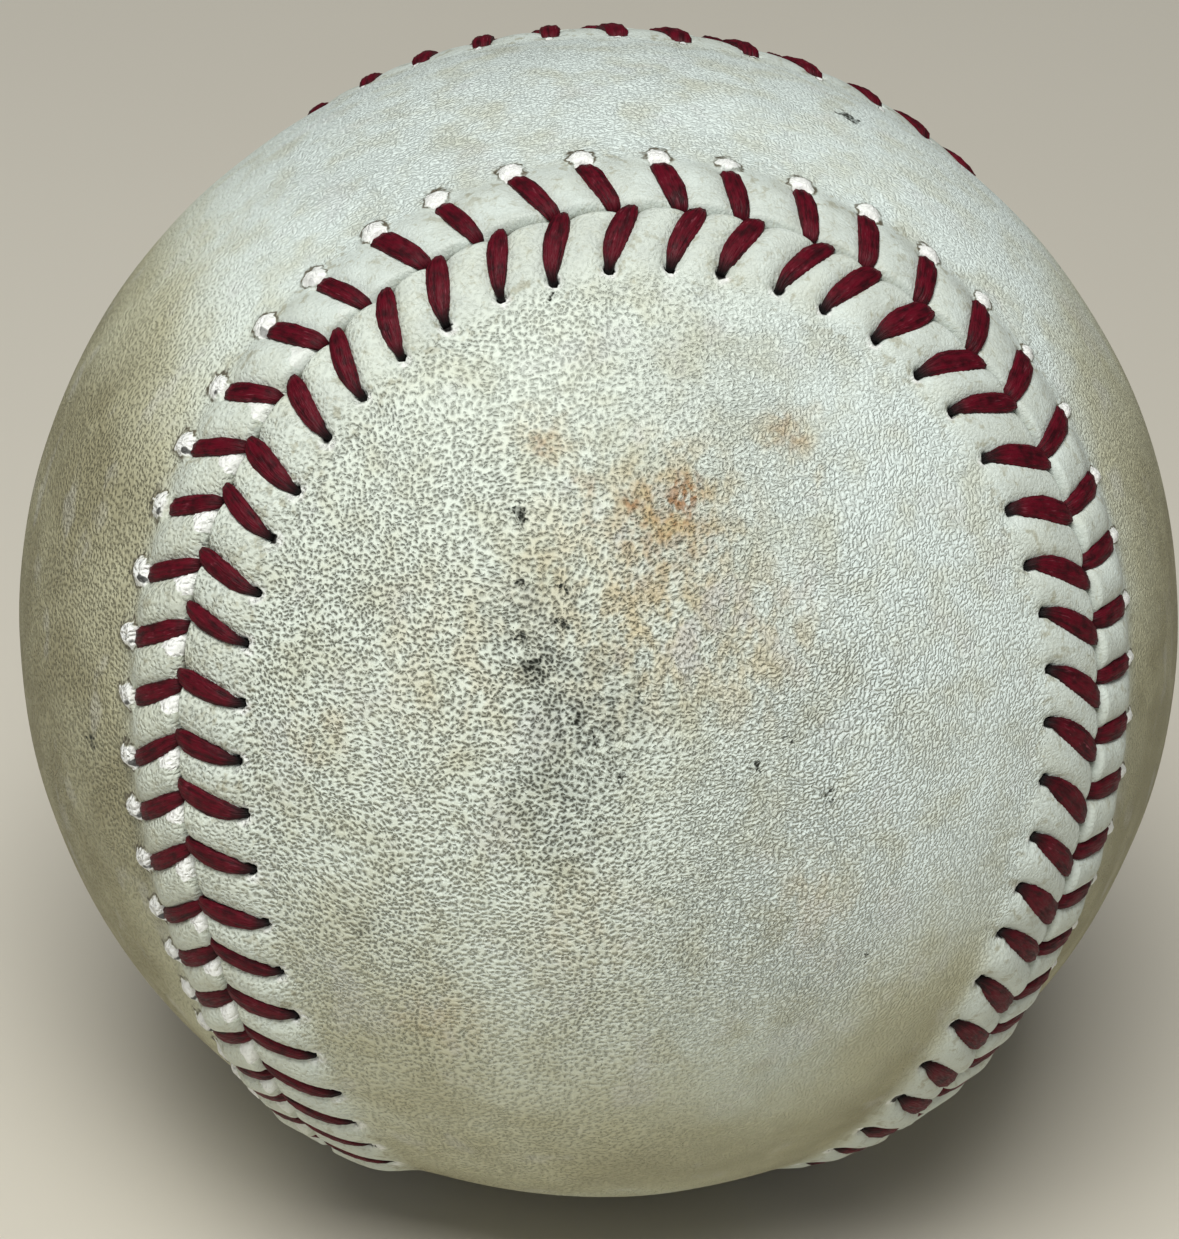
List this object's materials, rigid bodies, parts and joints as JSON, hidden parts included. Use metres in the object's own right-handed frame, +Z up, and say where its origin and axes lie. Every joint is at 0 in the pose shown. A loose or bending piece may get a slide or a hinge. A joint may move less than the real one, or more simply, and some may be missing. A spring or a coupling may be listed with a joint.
{
  "type": "baseball",
  "caption": "Hand-sewn leather ball: a cork and rubber pill wound with wool and cotton yarn, under two figure-eight cowhide panels laced together with red waxed thread.",
  "frame": {"origin": "centre of the ball", "axes": "+Z up as the ball sits in the picture, along the axis that the seam repeats about; the lower panel's lobes face -Y (front) and +Y, the upper panel's lobes face -X and +X"},
  "size_m": [0.0736, 0.0735, 0.0736],
  "materials": {
    "cork": "ground composition cork, matte",
    "black_rubber": "moulded, matte",
    "red_rubber": "moulded, matte",
    "grey_wool": "spun wool yarn",
    "white_wool": "spun wool yarn",
    "finish_cotton": "fine cotton and polyester yarn",
    "cowhide": "off-white full-grain cowhide, pored and soiled by use",
    "red_thread": "waxed cotton thread, dark red"
  },
  "bodies": {
    "root": {"cork_core": "cork", "black_rubber_shell_upper": "black_rubber", "black_rubber_shell_lower": "black_rubber", "red_rubber_washer": "red_rubber", "red_rubber_shell_upper": "red_rubber", "red_rubber_shell_lower": "red_rubber", "first_winding_grey_wool": "grey_wool", "second_winding_white_wool": "white_wool", "third_winding_grey_wool": "grey_wool", "finish_winding_cotton": "finish_cotton", "cover_panel_lower": "cowhide", "cover_panel_upper": "cowhide", "lacing_thread_one": "red_thread", "lacing_thread_two": "red_thread"}
  },
  "joints": []
}
